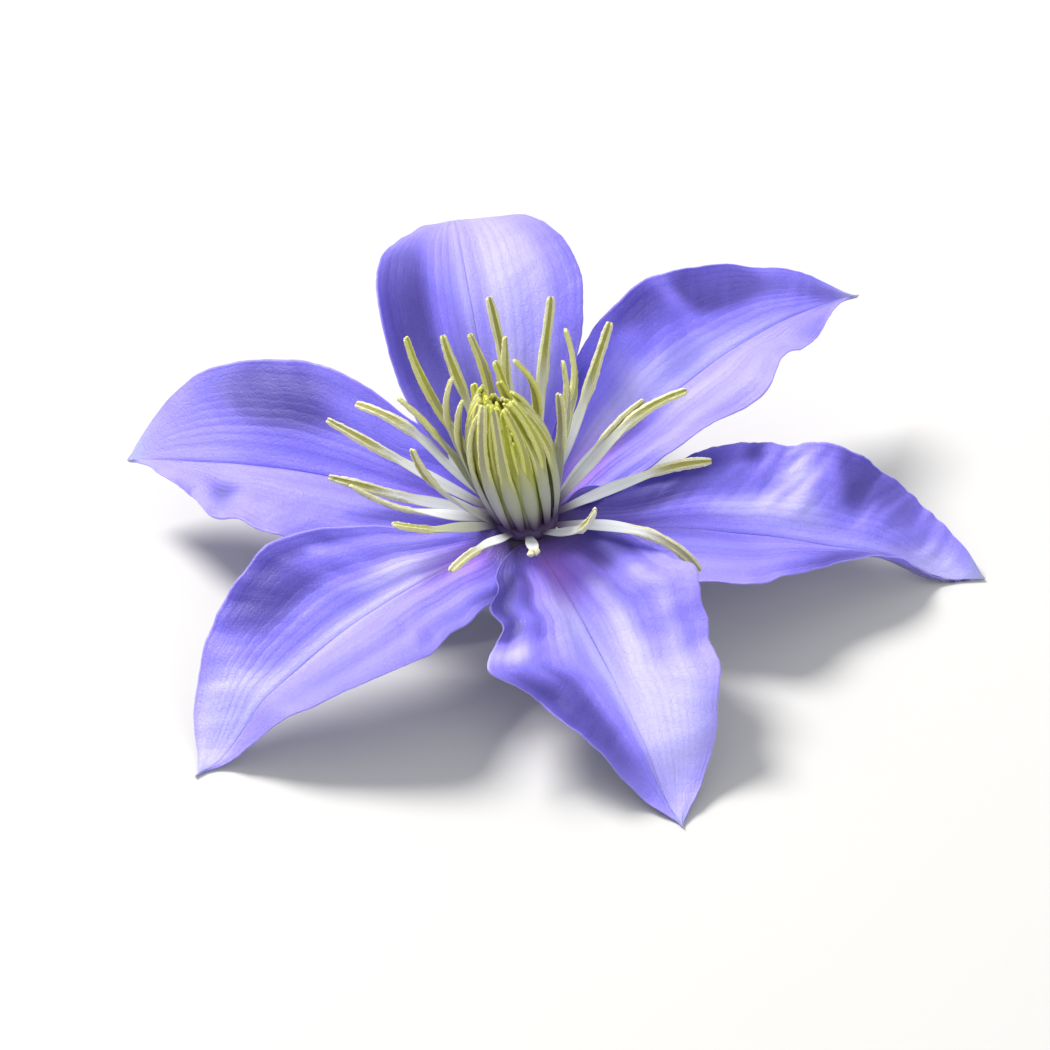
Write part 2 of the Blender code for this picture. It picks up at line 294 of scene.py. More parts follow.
world = bpy.data.worlds.new("studio")
world.use_nodes = True
background = world.node_tree.nodes["Background"]
background.inputs["Color"].default_value = studio["sky"]
background.inputs["Strength"].default_value = studio["skyStrength"]
bpy.context.scene.world = world

floorBm = bmesh.new()
bmesh.ops.create_grid(floorBm, x_segments=1, y_segments=1, size=studio["floorSize"])
floorMesh = bpy.data.meshes.new("floor")
floorBm.to_mesh(floorMesh)
floorBm.free()
floor = bpy.data.objects.new("floor", floorMesh)
bpy.context.scene.collection.objects.link(floor)
floorMesh.materials.append(newLook("floor", {"Roughness": 0.9, "Base Color": studio["floor"]})[0])


print("sepals")

# "root" is the azimuth and level at which a sepal grows on the receptacle, "azimuth" where it
# points, "rise" the midrib's slope at its root, middle and tip, "bend" the change of its
# heading, and "roll" the blade's turn about the midrib at root and tip. "rests" says that the
# tip lies on the floor. "pleat" is the depth of the folds that fan out from the root, and also
# the strength of the painted shade and light in stripes along them, and "blush" how pink the
# root is. A side has its half width at the root, its greatest half width and two powers that
# shape the outline, its fold up from the midrib at root, middle and tip, a wave (height,
# count, phase), lobes and finer scallops of the margin (place, size, spread), the heights of
# its crinkles, of its ruffled margin and of the margin's coarse and fine jags, swells that
# cross it (place, slant, spread, height), and paler or darker spots of painted light and
# shade, partly the sepal's own colour (place, distance from the midrib, their two spreads,
# strength). Places are shares of the length, and distances from the midrib are shares of the
# half width.
plainSide = dict(lobes=(), scallops=(), swells=())
sepals = {
    "sepal_back_left": dict(
        root=(110, 0.2), azimuth=110.5, length=51, rise=(42, 26, -75), bend=-20, roll=(0, 0),
        rests=False, pleat=0.10, blush=0.4,
        left=dict(
            plainSide, width=(1.7, 12.2, 1.2, 1.5), fold=(5, 14, -35), wave=(0.6, 2.5, 0.0),
            lobes=((0.20, 0.7, 0.08),), crinkle=0.08, ruffle=0.2, jags=(0.2, 0.05),
            lightAndShadePatches=((0.50, 0.75, 0.25, 0.35, -1.1), (0.50, 0.05, 0.3, 0.3, 0.6)),
        ),
        right=dict(
            plainSide, width=(1.9, 13.8, 1.15, 1.0), fold=(8, 4, -2), wave=(0.6, 2.2, 0.3),
            crinkle=0.08, ruffle=0.2, jags=(0.2, 0.05),
            lightAndShadePatches=(
                (0.60, 0.4, 0.25, 0.4, 0.6), (0.25, 0.4, 0.2, 0.5, 0.5),
                (0.55, 1.0, 0.3, 0.2, -0.6),
            ),
        ),
    ),
    "sepal_back_right": dict(
        root=(50, -0.2), azimuth=50, length=54, rise=(16, 8, -14), bend=-12, roll=(12, 10),
        rests=False, pleat=0.10, blush=1.4,
        left=dict(
            plainSide, width=(1.9, 13.2, 1.05, 1.0), fold=(4, 20, 5), wave=(0.6, 2.5, 0.0),
            lobes=((0.70, 0.8, 0.1),), crinkle=0.15, ruffle=0.3, jags=(0.25, 0.06),
            swells=((0.36, 0.06, 0.05, -0.4), (0.48, 0.06, 0.05, 0.5), (0.60, 0.08, 0.06, -0.4)),
            lightAndShadePatches=(
                (0.48, 0.85, 0.07, 0.25, -0.9), (0.57, 0.75, 0.025, 0.35, 0.4),
                (0.69, 0.72, 0.13, 0.40, -1.45), (0.25, 0.85, 0.1, 0.25, -0.8),
                (0.38, 0.5, 0.06, 0.3, 0.4), (0.55, 0.1, 0.35, 0.35, 0.8),
                (0.94, 0.3, 0.1, 0.6, -1.1), (0.22, 0.3, 0.1, 0.3, 0.6),
            ),
        ),
        right=dict(
            plainSide, width=(1.7, 10.2, 1.25, 1.35), fold=(22, 23, 15), wave=(1.0, 3.2, 0.2),
            lobes=((0.08, 0.7, 0.06),), crinkle=0.12, ruffle=0.45, jags=(0.3, 0.05),
            scallops=((0.54, 0.7, 0.04), (0.63, -1.2, 0.05), (0.40, -0.4, 0.05)),
            swells=((0.56, 0.0, 0.05, 0.3), (0.70, 0.0, 0.04, -0.3)),
            lightAndShadePatches=((0.50, 0.4, 0.35, 0.6, 0.35), (0.94, 0.3, 0.1, 0.6, -1.0)),
        ),
    ),
    "sepal_right": dict(
        root=(-10, -0.4), azimuth=3, length=51, rise=(9, -13, -18), bend=2, roll=(6, 8),
        rests=True, pleat=0.12, blush=0.2,
        left=dict(
            plainSide, width=(1.7, 13.6, 1.12, 0.78), fold=(10, 19, 20), wave=(0.5, 3.5, 0.0),
            lobes=((0.06, 2.2, 0.06),), crinkle=0.45, ruffle=0.4, jags=(0.3, 0.14),
            scallops=((0.46, 0.5, 0.04), (0.52, -0.4, 0.03)),
            swells=((0.42, 0.05, 0.04, -0.5), (0.52, 0.08, 0.05, 0.4), (0.64, 0.1, 0.03, -0.4)),
            lightAndShadePatches=(
                (0.12, 0.6, 0.17, 0.6, -1.0), (0.28, 0.9, 0.12, 0.35, -0.9),
                (0.45, 0.9, 0.03, 0.2, -0.6), (0.55, 0.75, 0.05, 0.5, 0.55),
                (0.42, 0.35, 0.15, 0.25, 0.6), (0.66, 0.7, 0.03, 0.35, -0.4),
                (0.74, 0.85, 0.11, 0.50, -0.95), (0.70, 0.1, 0.2, 0.2, 0.5),
                (0.89, 0.25, 0.09, 0.5, 0.9),
            ),
        ),
        right=dict(
            plainSide, width=(1.9, 8.8, 1.0, 2.0), fold=(-10, 16, 70), wave=(0.8, 2.6, 0.3),
            lobes=((0.42, 2.2, 0.1),), crinkle=0.12, ruffle=0.4, jags=(0.25, 0.08),
            lightAndShadePatches=(
                (0.35, 0.4, 0.2, 0.6, 0.15), (0.06, 0.5, 0.08, 0.6, -0.7),
                (0.74, 0.8, 0.2, 0.5, -1.4),
            ),
        ),
    ),
    "sepal_front": dict(
        root=(-70, 0.0), azimuth=-68, length=41, rise=(4, -15, -28), bend=3, roll=(0, 0),
        rests=True, pleat=0.22, blush=1.0,
        left=dict(
            plainSide, width=(1.9, 13.8, 0.72, 1.05), fold=(14, 20, 10), wave=(0.6, 3.5, 0.0),
            crinkle=0.09, ruffle=0.35, jags=(0.35, 0.08),
            scallops=(
                (0.28, -0.4, 0.03), (0.34, 0.3, 0.03), (0.43, -0.6, 0.04), (0.54, -0.8, 0.06),
                (0.80, 0.7, 0.08),
            ),
            swells=((0.24, 0.1, 0.04, 0.15), (0.31, 0.1, 0.03, -0.12)),
            lightAndShadePatches=(
                (0.05, 0.7, 0.08, 0.6, -1.0), (0.16, 0.7, 0.06, 0.3, -0.7),
                (0.24, 0.72, 0.04, 0.25, 0.3), (0.55, 0.2, 0.35, 0.4, 0.65),
                (0.74, 0.6, 0.2, 0.5, 0.7), (0.36, 0.7, 0.1, 0.3, -0.1),
            ),
        ),
        right=dict(
            plainSide, width=(1.9, 11.8, 0.82, 1.3), fold=(6, 15, 10), wave=(0.4, 4.2, 0.35),
            lobes=((0.14, -1.4, 0.07), (0.30, -1.8, 0.04), (0.425, 2.0, 0.045), (0.48, 3.4, 0.04)),
            crinkle=0.12, ruffle=0.45, jags=(0.25, 0.1), scallops=((0.20, -0.7, 0.05),),
            swells=((0.47, 0.0, 0.05, 0.5), (0.35, 0.03, 0.03, -0.2)),
            lightAndShadePatches=(
                (0.17, 0.85, 0.13, 0.35, -1.2), (0.33, 0.95, 0.03, 0.25, -1.0),
                (0.43, 0.85, 0.05, 0.25, 0.9), (0.28, 0.2, 0.12, 0.14, 0.7),
                (0.64, 0.75, 0.18, 0.4, -1.1), (0.60, 0.05, 0.35, 0.25, 0.8),
            ),
        ),
    ),
    "sepal_front_left": dict(
        root=(-130, 0.2), azimuth=-141, length=45.5, rise=(8, -12, -30), bend=3, roll=(0, 0),
        rests=True, pleat=0.16, blush=1.0,
        left=dict(
            plainSide, width=(1.9, 12.8, 0.85, 1.4), fold=(-14, 12, 15), wave=(0.4, 2.5, 0.0),
            lobes=((0.20, -2.4, 0.08), (0.32, -2.8, 0.09)),
            crinkle=0.12, ruffle=0.25, jags=(0.25, 0.07),
            lightAndShadePatches=(
                (0.92, 0.3, 0.1, 0.5, 0.5), (0.62, 0.6, 0.25, 0.4, -0.5),
                (0.12, 0.9, 0.1, 0.3, -0.7), (0.45, 1.0, 0.3, 0.1, -0.4),
                (0.50, 0.1, 0.3, 0.15, 0.5),
            ),
        ),
        right=dict(
            plainSide, width=(1.9, 13.2, 1.25, 1.05), fold=(24, 24, 10), wave=(0.4, 2.2, 0.3),
            lobes=((0.51, 0.9, 0.06),), crinkle=0.2, ruffle=0.3, jags=(0.45, 0.07),
            swells=((0.40, 0.12, 0.03, 0.3),),
            lightAndShadePatches=(
                (0.60, 0.75, 0.2, 0.4, -0.95), (0.35, 0.95, 0.15, 0.15, -0.3),
                (0.42, 0.75, 0.02, 0.08, 0.5), (0.50, 0.0, 0.35, 0.25, 0.8),
                (0.86, 0.35, 0.13, 0.6, 1.9), (0.27, 0.35, 0.12, 0.3, 0.7),
            ),
        ),
    ),
    "sepal_left": dict(
        root=(170, -0.2), azimuth=162, length=46, rise=(16, -3, -16), bend=-2, roll=(-16, -10),
        rests=False, pleat=0.10, blush=0.5,
        left=dict(
            plainSide, width=(1.9, 11.6, 0.95, 1.2), fold=(2, 8, 10), wave=(0.6, 2.5, 0.0),
            crinkle=0.1, ruffle=0.5, jags=(0.2, 0.05),
            scallops=((0.69, 0.5, 0.04), (0.76, -0.4, 0.04), (0.61, -0.5, 0.04)),
            swells=((0.70, 0.0, 0.05, -0.4),),
            lightAndShadePatches=(
                (0.40, 0.4, 0.3, 0.5, 0.15), (0.68, 0.6, 0.05, 0.25, -1.0),
                (0.30, 0.9, 0.2, 0.2, -0.4),
            ),
        ),
        right=dict(
            plainSide, width=(1.7, 14.0, 1.1, 0.62), fold=(8, 28, 15), wave=(0.5, 2.2, 0.3),
            lobes=((0.16, 3.4, 0.08),), crinkle=0.1, ruffle=0.25, jags=(0.2, 0.05),
            lightAndShadePatches=(
                (0.60, 0.65, 0.17, 0.38, -1.1), (0.75, 0.85, 0.12, 0.25, -0.5),
                (0.75, 0.1, 0.15, 0.25, 0.4),
            ),
        ),
    ),
}

blade = dict(
    across=88,
    along=150,
    weld=0.005,                # distance at which the faces' corners are joined at the tip
    thickness=0.42,
    rimShare=0.35,             # how thick the margin is beside the middle
    thinning=(0.6, 1),         # where it thins, from the midrib outwards
    rootRadius=receptacle["radius"] + gap,
    rootLift=0.9,              # the root's rise to the receptacle, over this share of the length
    rootShare=0.08,
    rootCover=(0.8, 0.07, 0.07),   # extra half width there, to meet the next ones
    restStretch=(0.75, 0.95),  # where along it a resting sepal comes to lie flat
    restLift=0.02,
    grooveRounding=0.8,
    groove=(0.17, 0.5),        # depth over the midrib, and spread
    innerVein=0.19,            # the side veins, as shares of the half width
    outerVein=0.40,
    veinDepths=(0.05, 0.03),
    veinSpread=0.03,
    ridges=(0.012, 11),        # height, and how many from midrib to margin
    pleats=(2.7, 0.6),         # how many from midrib to margin, and the phase
    # Each kind of crinkle has a height, width, length and layer of the noise. The slant is
    # their run along the blade and outwards.
    crinkles=((1, 1.9, 9, 0), (0.45, 0.9, 4, 7), (0.8, 4.5, 12, 17)),
    crinkleSlant=(0.6, 0.8),
    swell=(0.28, 8, 1.6),      # height, length and how close they come across
    ruffleLength=2.6,
    blush=(0.1, 0.14, 0.4),    # place, and the spreads along and across
)


def halfWidth(half, t):
    atRoot, widest, rootPower, tipPower = half["width"]
    peak = rootPower / (rootPower + tipPower)
    top = peak**rootPower * (1 - peak) ** tipPower
    width = widest * t**rootPower * (1 - t) ** tipPower / top
    cover, place, spread = blade["rootCover"]
    width += atRoot * (1 - t) ** 3 + cover * bell(t, place, spread)
    for place, size, spread in (*half["lobes"], *half["scallops"]):
        width += size * bell(t, place, spread)
    return width


def jagged(half, t, distance, seed):
    # The margin's jags, the coarse ones first, by height, length and layer of the noise.
    coarse, fine = half["jags"]
    jag = 0
    for height, length, layer in ((coarse, 4, 9), (1.2 * fine, 1.5, 0), (fine, 0.7, 5)):
        jag += height * noise.noise(Vector((distance / length, seed, layer)))
    return jag * within(t, (0.1, 0.25), (0.93, 1))


def pleatAt(form, edge, t):
    count, phase = blade["pleats"]
    fan = within(t, (0.05, 0.14), (0.4, 0.75)) * within(edge, (0.02, 0.12), (0.8, 1))
    return form["pleat"] * math.cos(math.tau * count * edge + phase) * fan


def relief(form, half, u, t, away, seed):
    # How far the blade's face stands out from its smooth form.
    distance = t * form["length"]
    edge = abs(u)
    fade = within(t, (0.05, 0.12), (0.8, 0.97))
    depth, spread = blade["groove"]
    rise = -depth * bell(away, 0, spread) * fade
    for vein, depth in zip((blade["innerVein"], blade["outerVein"]), blade["veinDepths"]):
        rise -= depth * bell(edge, vein, blade["veinSpread"]) * fade
    rise += pleatAt(form, edge, t)
    height, count = blade["ridges"]
    rise += height * math.cos(math.tau * count * edge + seed) * fade

    # The crinkles run slantwise from the midrib to the margin.
    along, out = blade["crinkleSlant"]
    cut = out * distance - along * away
    run = along * distance + out * away
    ripple = 0
    for height, width, length, layer in blade["crinkles"]:
        ripple += height * noise.noise(Vector((cut / width, run / length, seed + layer)))
    crinkled = smoothStep(edge, 0.12, 0.55) * within(t, (0.15, 0.4), (0.85, 1))
    rise += half["crinkle"] * ripple * crinkled

    height, length, closeness = blade["swell"]
    rise += height * noise.noise(Vector((distance / length, u * closeness, seed + 3))) * fade
    for place, slant, spread, height in half["swells"]:
        rise += height * bell(t - slant * edge, place, spread) * smoothStep(edge, 0.08, 0.5)
    ruffle = noise.noise(Vector((distance / blade["ruffleLength"], seed + 11, 0)))
    return rise + half["ruffle"] * ruffle * edge**5 * within(t, (0.08, 0.25), (0.9, 1))


def toneAndPaintedLightOf(form, half, edge, t):
    # Painted light and shade, partly the sepal's own colour, from -1, the darkest, to 1, the
    # palest. The pleats add painted shade and light in stripes along their folds, and the spots
    # add the rest.
    toneAndPaintedLight = pleatAt(form, edge, t)
    for place, out, long, wide, strength in half["lightAndShadePatches"]:
        toneAndPaintedLight += strength * bell(t, place, long) * bell(edge, out, wide)
    return max(-1, min(1, toneAndPaintedLight))


def makeSepal(name, form, looks, seed):
    azimuth, level = form["root"]
    angle = math.radians(azimuth)
    root = (blade["rootRadius"] * math.cos(angle), blade["rootRadius"] * math.sin(angle), level)
    rows = blade["along"]
    line = growthLine(root, form["azimuth"], form["length"], form["rise"], form["bend"],
                      form["roll"], rows)
    restLevel = surfaceLevel + blade["thickness"] / 2 + blade["restLift"]

    bm = bmesh.new()
    bmesh.ops.create_grid(bm, x_segments=blade["across"], y_segments=rows, size=1)
    acrossLayer = bm.verts.layers.float.new("across")
    alongLayer = bm.verts.layers.float.new("along")
    toneAndPaintedLightLayer = bm.verts.layers.float.new("toneAndPaintedLight")
    blushLayer = bm.verts.layers.float.new("blush")
    thickness = bm.verts.layers.deform.verify()
    place, long, wide = blade["blush"]
    for vert in bm.verts:
        u = vert.co.x
        row = round((vert.co.y + 1) / 2 * rows)
        t = row / rows
        edge = abs(u)
        sign = math.copysign(1, u)
        half = form["left"] if u > 0 else form["right"]
        vert[acrossLayer] = u
        vert[alongLayer] = t
        # Painted light and shade, partly the sepal's own colour, for the face's look.
        vert[toneAndPaintedLightLayer] = toneAndPaintedLightOf(form, half, edge, t)
        vert[blushLayer] = form["blush"] * bell(t, place, long) * bell(u, 0, wide)
        vert[thickness][0] = 1 - smoothStep(edge, *blade["thinning"])
        point, side, normal = line[row]
        width = max(0, halfWidth(half, t) + jagged(half, t, t * form["length"], seed + 20 * sign))
        reach = math.hypot(edge * width, blade["grooveRounding"]) - blade["grooveRounding"]
        fold = math.radians(through(half["fold"], t))
        height, count, phase = half["wave"]
        wave = height * u**2 * math.sin(math.tau * (count * t + phase)) * min(width / 6, 1)
        spot = point + side * (sign * reach * math.cos(fold))
        spot += normal * (reach * math.sin(fold) + wave)
        faceOut = normal * math.cos(fold) - side * (sign * math.sin(fold))
        spot += faceOut * relief(form, half, u, t, edge * width, seed)
        spot.z += blade["rootLift"] * (1 - smoothStep(t, 0, blade["rootShare"]))
        if form["rests"]:
            spot.z += (restLevel - point.z) * smoothStep(t, *blade["restStretch"])
        spot.z = max(spot.z, restLevel)
        vert.co = placed(spot)
    bmesh.ops.remove_doubles(bm, verts=bm.verts, dist=blade["weld"] * mm)
    bmesh.ops.reverse_faces(bm, faces=bm.faces)
    piece = newPiece(name + "_blade", bm, looks, name)
    piece.vertex_groups.new(name="thickness")
    shell = piece.modifiers.new("thickness", "SOLIDIFY")
    shell.thickness = blade["thickness"] * mm
    shell.offset = 0
    shell.vertex_group = "thickness"
    shell.thickness_vertex_group = blade["rimShare"]
    shell.material_offset = 1
    shell.material_offset_rim = 2


def sepalFace():
    look, tree, shader = newLook("sepal face", {
        "Subsurface Weight": 0.4,
        "Subsurface Radius": (0.5, 0.4, 1.4),
        "Subsurface Scale": mm,
        "Sheen Weight": 0.2,
        "Sheen Roughness": 0.35,
        "Sheen Tint": (0.85, 0.80, 1.0, 1.0),
        "Specular IOR Level": 0.5,
    })
    where = objectPlace(tree)
    across = attribute(tree, "across")
    along = attribute(tree, "along")
    toneAndPaintedLight = attribute(tree, "toneAndPaintedLight")
    blush = attribute(tree, "blush")
    edge = abs(across)
    cloud = roughNoise(tree, where, 130, 3)
    grain = roughNoise(tree, where, 5200, 2, 0.7)
    colour = mixed(tree, stepUp(tree, cloud, 0.3, 0.7), "8376ec", "8b80f4")
    # Above zero the colour turns paler, towards c4bffd, as painted light. Below zero it turns
    # darker, towards 3d3186, as painted shade. Partly this is the sepal's own colour.
    colour = mixed(tree, stepUp(tree, toneAndPaintedLight, 0.0, 1.0) * 0.9, colour, "c4bffd")
    paintedShade = stepUp(tree, 0 - toneAndPaintedLight, 0.0, 1.0)
    colour = mixed(tree, paintedShade * 0.92, colour, "3d3186")
    outer = stepUp(tree, along, 0.6, 1.0)
    colour = mixed(tree, outer * 0.3, colour, "9d94fa")

    # Fine veins run from root to tip with a faint net between them.
    wander = roughNoise(tree, where, 160, 2) * 5.0
    lines = stripes(tree, edge * 78 + wander) ** 3 * (1 - stepUp(tree, along, 0.75, 0.95))
    net = addNode(tree, "ShaderNodeTexVoronoi", dict(feature="DISTANCE_TO_EDGE"), {
        "Vector": where, "Scale": 1100.0, "Randomness": 0.9})
    net = 1 - stepUp(tree, net, 0.0, 0.12)
    colour = mixed(tree, lines * 0.06, colour, "4f41b4")
    colour = mixed(tree, net * 0.05, colour, "4f41b4")
    mainLines = hump(tree, across, 0, 0.016)
    mainLines += hump(tree, edge, blade["innerVein"], 0.014) * 0.6
    mainLines += hump(tree, edge, blade["outerVein"], 0.012) * 0.4
    colour = mixed(tree, mainLines * 0.14 * (1 - outer * 0.6), colour, "5245b8")

    # The root is pink, with painted shade that darkens it towards its foot under the stamens, the
    # margin is paler and the tip grey, and the surface has a fine dark grain and whitish specks of
    # painted sparkle, glints that fade where shade is painted.
    colour = mixed(tree, blush * 0.6, colour, "ab68d2")
    # Painted shade at the root's foot, under the stamens where the blades meet the receptacle.
    colour = mixed(tree, (1 - stepUp(tree, along, 0.0, 0.11)) * 0.9, colour, "412a5e")
    colour = mixed(tree, stepUp(tree, edge, 0.975, 1.0) * 0.35, colour, "aca5fb")
    colour = mixed(tree, stepUp(tree, along, 0.92, 1.0) * 0.9, colour, "8e92b2")
    # Whitish specks of painted sparkle, glints off the cells, faded where shade is painted.
    paintedSparkle = stepUp(tree, grain, 0.55, 0.78) * 0.32
    colour = mixed(tree, paintedSparkle * (1 - paintedShade * 0.9), colour, "c2bdfe")
    colour = mixed(tree, stepUp(tree, 1 - grain, 0.55, 0.78) * 0.16, colour, "4c3eb0")

    bump = bumped(tree, grain * 0.7 + lines * -0.35 + net * -0.3, 0.5, 0.10)
    feed(tree, shader, colour=colour, roughness=0.48 + grain * 0.2, normal=bump)
    return look


def sepalBack():
    look, tree, shader = newLook("sepal back", {
        "Subsurface Weight": 0.4,
        "Subsurface Radius": (0.5, 0.4, 1.4),
        "Subsurface Scale": mm,
        "Sheen Weight": 0.25,
        "Specular IOR Level": 0.35,
    })
    where = objectPlace(tree)
    across = attribute(tree, "across")
    along = attribute(tree, "along")
    edge = abs(across)
    cloud = roughNoise(tree, where, 140, 3)
    down = roughNoise(tree, where, 3000, 3, 0.7)
    colour = mixed(tree, cloud, "7068c4", "867dd6")
    colour = mixed(tree, hump(tree, across, 0, 0.3) * 0.6, colour, "8684ac")
    wander = roughNoise(tree, where, 200, 2) * 3.0
    lines = stripes(tree, edge * 60 + wander) ** 4
    colour = mixed(tree, lines * 0.22, colour, "584f9c")
    ribs = hump(tree, across, 0, 0.03) + hump(tree, edge, blade["innerVein"], 0.022)
    colour = mixed(tree, ribs * (1 - along) * 0.7, colour, "84926c")
    colour = mixed(tree, (1 - stepUp(tree, along, 0.0, 0.2)) * 0.6, colour, "6c7850")
    colour = mixed(tree, stepUp(tree, down, 0.55, 0.75) * 0.3, colour, "b5b0d6")
    bump = bumped(tree, down + ribs * 1.5 + lines * 0.5, 0.6, 0.15)
    feed(tree, shader, colour=colour, roughness=0.5 + down * 0.2, normal=bump)
    return look


def sepalRim():
    look, tree, shader = newLook("sepal rim", {
        "Subsurface Weight": 0.3,
        "Subsurface Radius": (0.6, 0.5, 1.4),
        "Subsurface Scale": mm,
    })
    where = objectPlace(tree)
    along = attribute(tree, "along")
    cloud = roughNoise(tree, where, 900, 2)
    colour = mixed(tree, cloud, "847be4", "9e96f2")
    colour = mixed(tree, stepUp(tree, along, 0.96, 1.0) * 0.8, colour, "b4b7aa")
    feed(tree, shader, colour=colour, roughness=0.5 + cloud * 0.1)
    return look


sepalLooks = [sepalFace(), sepalBack(), sepalRim()]
for index, (name, form) in enumerate(sepals.items(), 1):
    makeSepal(name, form, sepalLooks, seed=31.7 * index)


print("stamens")

# The spreading stamens as they lean: azimuth, slope at the root, change of slope, length, the
# outer half's further turns of slope and heading, the anther's twist, and ripeness.
spreadingStamens = (
    (164, 22, 6, 22, -4, 0, 10, 0.9),
    (153, 33, -4, 21, -32, 0, 0, 1.0),
    (141, 44, 12, 22.5, 14, 0, 30, 0.5),
    (165, 54, -4, 18, -10, 8, 60, 0.7),
    (124, 46, 10, 20.5, 0, 0, -10, 0.8),
    (112, 53, 16, 19.8, -8, 26, 20, 0.4),
    (208, 44, 16, 17.5, 14, -8, 70, 0.8),
    (173, 8, 8, 19.5, 0, 0, 0, 0.9),
    (188, 12, 6, 17.5, 18, -4, 75, 0.8),
    (207, 15, 2, 13.8, 12, -4, 30, 0.7),
    (246, 26, -4, 15.6, -22, 0, 15, 0.9),
    (276, 27, 6, 16.3, 8, 0, 10, 1.0),
    (304, 32, 20, 14.6, 18, 4, 30, 1.1),
    (334, 20, -60, 19.5, -12, 0, 10, 0.9),
    (12, 22, -4, 19, -16, 0, 15, 1.0),
    (26, 46, -8, 21, -30, 0, 0, 0.9),
    (29, 47, 0, 16.4, -20, 0, 70, 0.9),
    (54, 46, 10, 22, 0, 0, 0, 0.8),
    (58, 53, 14, 20.5, 0, 70, 50, 0.6),
    (81, 50, 10, 23.3, 0, 0, 10, 0.8),
    (98, 50, 10, 23.5, 0, 14, 0, 0.7),
    (104, 56, 16, 19, 8, -4, 60, 0.6),
    (157, 55, 36, 18.7, 20, 6, 40, 0.6),
    (52, 65, 10, 17.4, 4, 84, 40, 0.6),
    (18, 83, 8, 16.5, 8, 0, 10, 0.8),
    (180, 66, 14, 17, 24, -10, 30, 0.6),
    (139, 69, 14, 15.6, 0, 0, 10, 0.3),
    (101, 60, 20, 16.4, -14, 34, 10, 0.3),
    (78, 70, 44, 19.2, 20, -70, 0, 0.2),
)

# The standing stamens in whorls: how many, root radius, slopes, length and ripeness. The
# inner whorl isn't in the solids. It fills the barrel's mouth.
standingWhorls = (
    (13, 3.15, (70, 91, 131), 17.0, 0.45),
    (13, 2.75, (76, 91, 127), 16.6, 0.1),
    (8, 2.4, (80, 91, 120), 15.8, 0.0),
)
innerWhorl = (8, 1.75, (88, 91, 106), 15.0, 0.0)

stamen = dict(
    ringRadius=2.85,
    ringHalfWidth=0.95,
    ringHalfHeight=0.75,
    ringLumps=(0.12, 1.4),     # height and fineness
    spreadingRoot=3.3,
    whorlTurn=40,              # turns a whorl against the next, for each mm of root radius
    lean=Vector((-0.20, 0.02, 0)),   # of the barrel, for each mm of height
    filament=(0.52, 0.36, 0.34, 0.22),   # half width, what swells it, where, and the spread
    slim=0.8,                  # width of the spreading filaments beside the standing ones
    filamentDepth=(0.13, 0.12),    # half depth at its edges, and what its middle adds
    cup=0.22,                  # how far its edges stand out over its middle
    wobble=(0.25, 3),          # height, and how fast it changes along the filament
    wobbleOver=(0.2, 0.6),
    anther=(0.68, 0.66),       # half width of the spreading ones and of the standing ones
    antherFrom=(0.56, 0.65),
    waists=(0.05, 3),          # how much an anther's width varies, and how often
    sacs=(0.26, 0.20, 0.68, 0.30),   # half depth between the two sacs, what one adds, where
    slit=(0.09, 0.70, 0.10),   # depth of a ripe sac's slit, where, and the spread
    lumps=((0.05, 1.9), (0.08, 4.3)),   # height and fineness
    faceTurn=34,               # turns the faces of those that lean along X towards -Y
    twistOver=(0.15, 0.75),
    blunt=0.32,                # the lower, the blunter the ends
    varied=dict(twist=16, ripe=0.15, shift=(-0.09, 0.05)),
    rows=200,
    sides=24,
    rings=72,
)
stamenLevel = receptacle["top"] + gap + stamen["ringHalfHeight"]


def leaning(line):
    foot = line[0][0].z
    leant = []
    for point, side, normal in line:
        leant.append((point + stamen["lean"] * (point.z - foot), side, normal))
    return leant


def stamenLine(azimuth, radius, rise, bend, length, hook=0, sway=0):
    angle = math.radians(azimuth)
    root = (radius * math.cos(angle), radius * math.sin(angle), stamenLevel)
    return growthLine(root, azimuth, length, rise, bend, (0, 0), stamen["rows"], hook, sway)


def stamenForms():
    # Each stamen's line, the turn of its filament and of its anther, its ripeness, how broad
    # its filament is and its anther's half width.
    rng = random.Random(7)
    outerAnther, standingAnther = stamen["anther"]
    spreading = []
    for azimuth, slope, change, length, hook, sway, twist, ripe in spreadingStamens:
        rise = (slope, slope + change / 4, slope + change)
        bend = rng.uniform(-8, 8)
        line = stamenLine(azimuth, stamen["spreadingRoot"], rise, bend, length, hook, sway)
        face = stamen["faceTurn"] * math.cos(math.radians(azimuth))
        spreading.append((line, face, twist, ripe, stamen["slim"], outerAnther))
    standing = []
    for count, radius, rise, length, ripe in standingWhorls:
        for index in range(count):
            azimuth = 360 * (index + rng.uniform(-0.15, 0.15)) / count
            azimuth += stamen["whorlTurn"] * radius
            slopes = [slope + rng.uniform(-4, 4) for slope in rise]
            bend = rng.uniform(-14, 14)
            line = stamenLine(azimuth, radius, slopes, bend, length + rng.uniform(-1.3, 1.3))
            standing.append((leaning(line), 0, None, ripe, 1, standingAnther))
    count, radius, rise, length, ripe = innerWhorl
    for index in range(count):
        azimuth = 360 * (index + rng.uniform(-0.2, 0.2)) / count
        bend = rng.uniform(-40, 40)
        line = stamenLine(azimuth, radius, rise, bend, length + rng.uniform(-1.6, 1.6))
        standing.append((leaning(line), 0, None, ripe, 1, standingAnther))
    return spreading, standing


